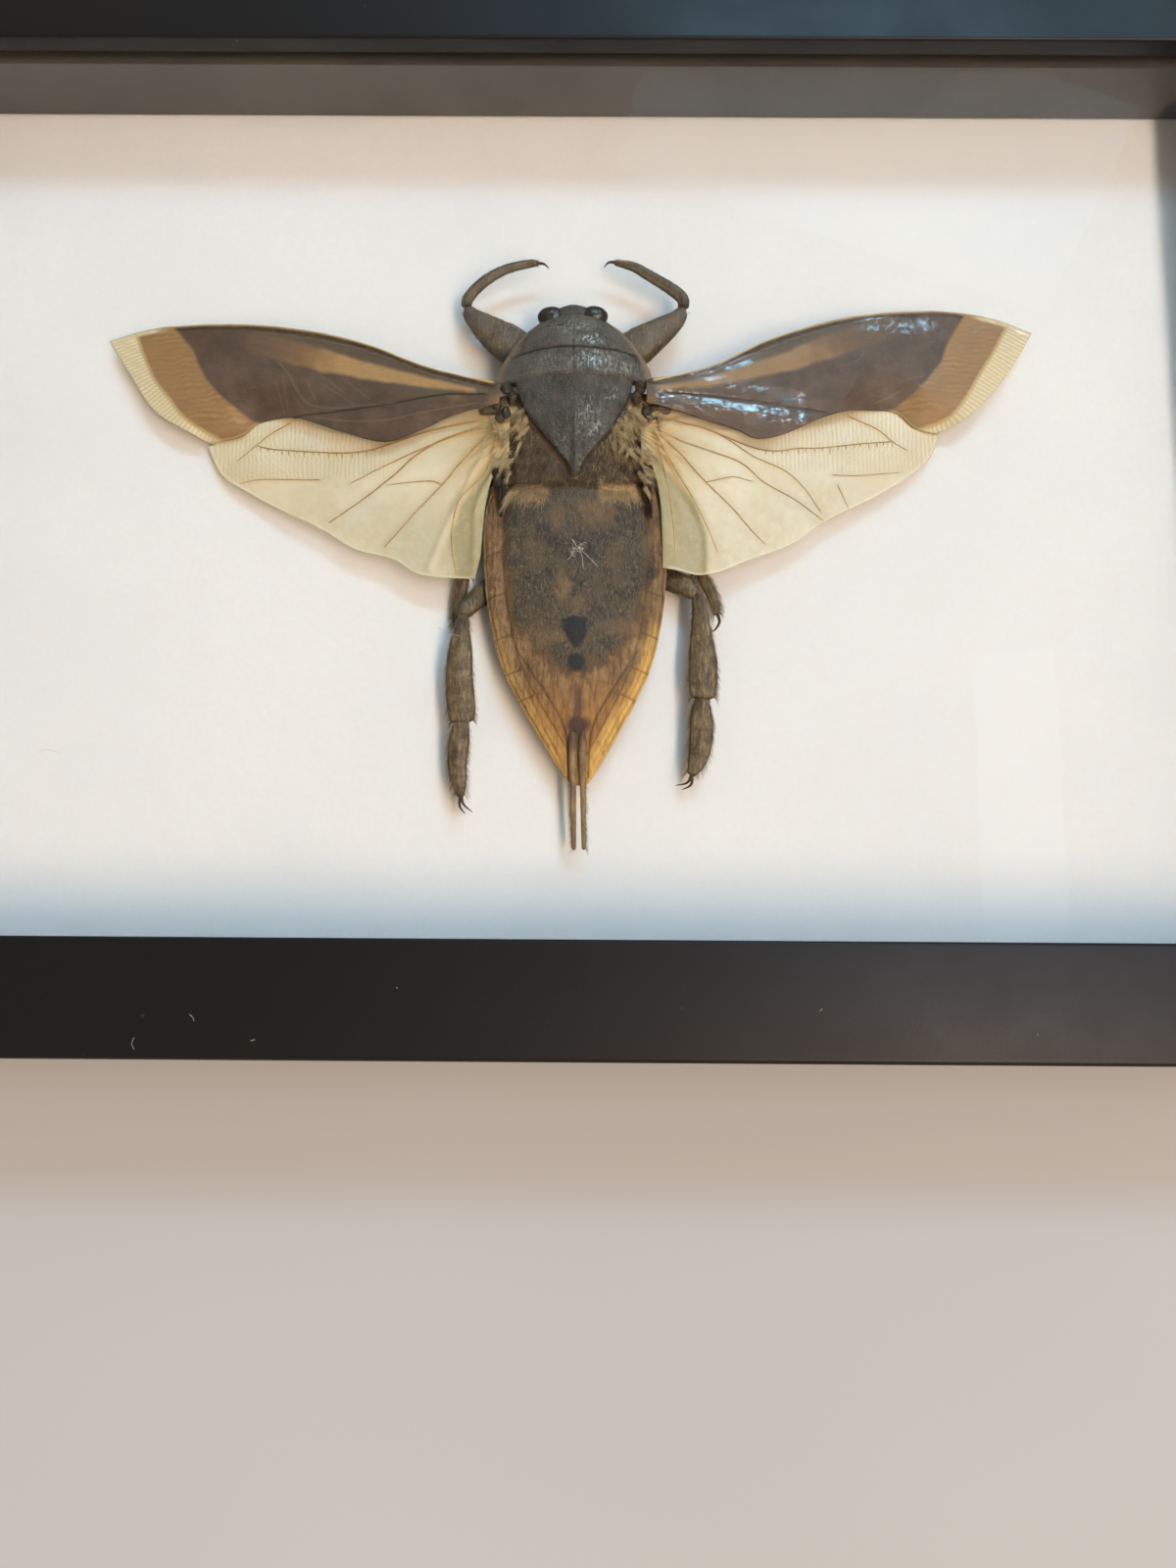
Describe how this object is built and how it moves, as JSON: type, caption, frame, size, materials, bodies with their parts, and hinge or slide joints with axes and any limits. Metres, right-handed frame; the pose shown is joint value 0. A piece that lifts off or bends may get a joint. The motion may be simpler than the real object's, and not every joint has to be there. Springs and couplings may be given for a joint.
{
  "type": "framed giant water bug",
  "caption": "Giant water bug with spread wings, flat on white board behind glass in a black mitred box frame that lies on its back.",
  "frame": {"origin": "centre of the frame's back face, on the surface that the frame lies on", "axes": "+Z out of the glass, +X along the frame's long side, +Y from the bug's tail towards its head"},
  "size_m": [0.216, 0.154, 0.025],
  "materials": {
    "black_lacquer": "satin black lacquer on wood",
    "spacer_card": "satin black strip",
    "pane_glass": "clear polished glass",
    "white_board": "white paper-covered board, fine tooth",
    "fibreboard": "raw brown fibreboard",
    "zinc_steel": "zinc-plated, slightly dull",
    "dark_cuticle": "charcoal brown, satin, finely pitted",
    "hairy_cuticle": "brown under golden hair",
    "amber_cuticle": "dark brown to amber, satin",
    "leg_cuticle": "brown with pale hair",
    "brown_wing": "leathery, brown and tan, glossy where it creases",
    "clear_wing": "translucent cream film with brown veins"
  },
  "bodies": {
    "root": {"rail_top": "black_lacquer", "rail_bottom": "black_lacquer", "rail_left": "black_lacquer", "rail_right": "black_lacquer", "spacer_top": "spacer_card", "spacer_bottom": "spacer_card", "spacer_left": "spacer_card", "spacer_right": "spacer_card", "glass": "pane_glass", "mount_board": "white_board", "back_panel": "fibreboard", "tab_1": "zinc_steel", "tab_2": "zinc_steel", "tab_3": "zinc_steel", "tab_4": "zinc_steel", "tab_5": "zinc_steel", "tab_6": "zinc_steel", "hanger": "zinc_steel", "nail_left": "zinc_steel", "nail_right": "zinc_steel", "bug_head": "dark_cuticle", "bug_pronotum": "dark_cuticle", "bug_scutellum": "dark_cuticle", "bug_thorax": "hairy_cuticle", "bug_abdomen": "amber_cuticle", "bug_air_strap_left": "leg_cuticle", "bug_air_strap_right": "leg_cuticle", "bug_foreleg_left": "leg_cuticle", "bug_foreleg_right": "leg_cuticle", "bug_midleg_left": "leg_cuticle", "bug_midleg_right": "leg_cuticle", "bug_hindleg_left": "leg_cuticle", "bug_hindleg_right": "leg_cuticle", "bug_forewing_left": "brown_wing", "bug_forewing_right": "brown_wing", "bug_hindwing_left": "clear_wing", "bug_hindwing_right": "clear_wing"}
  },
  "joints": []
}
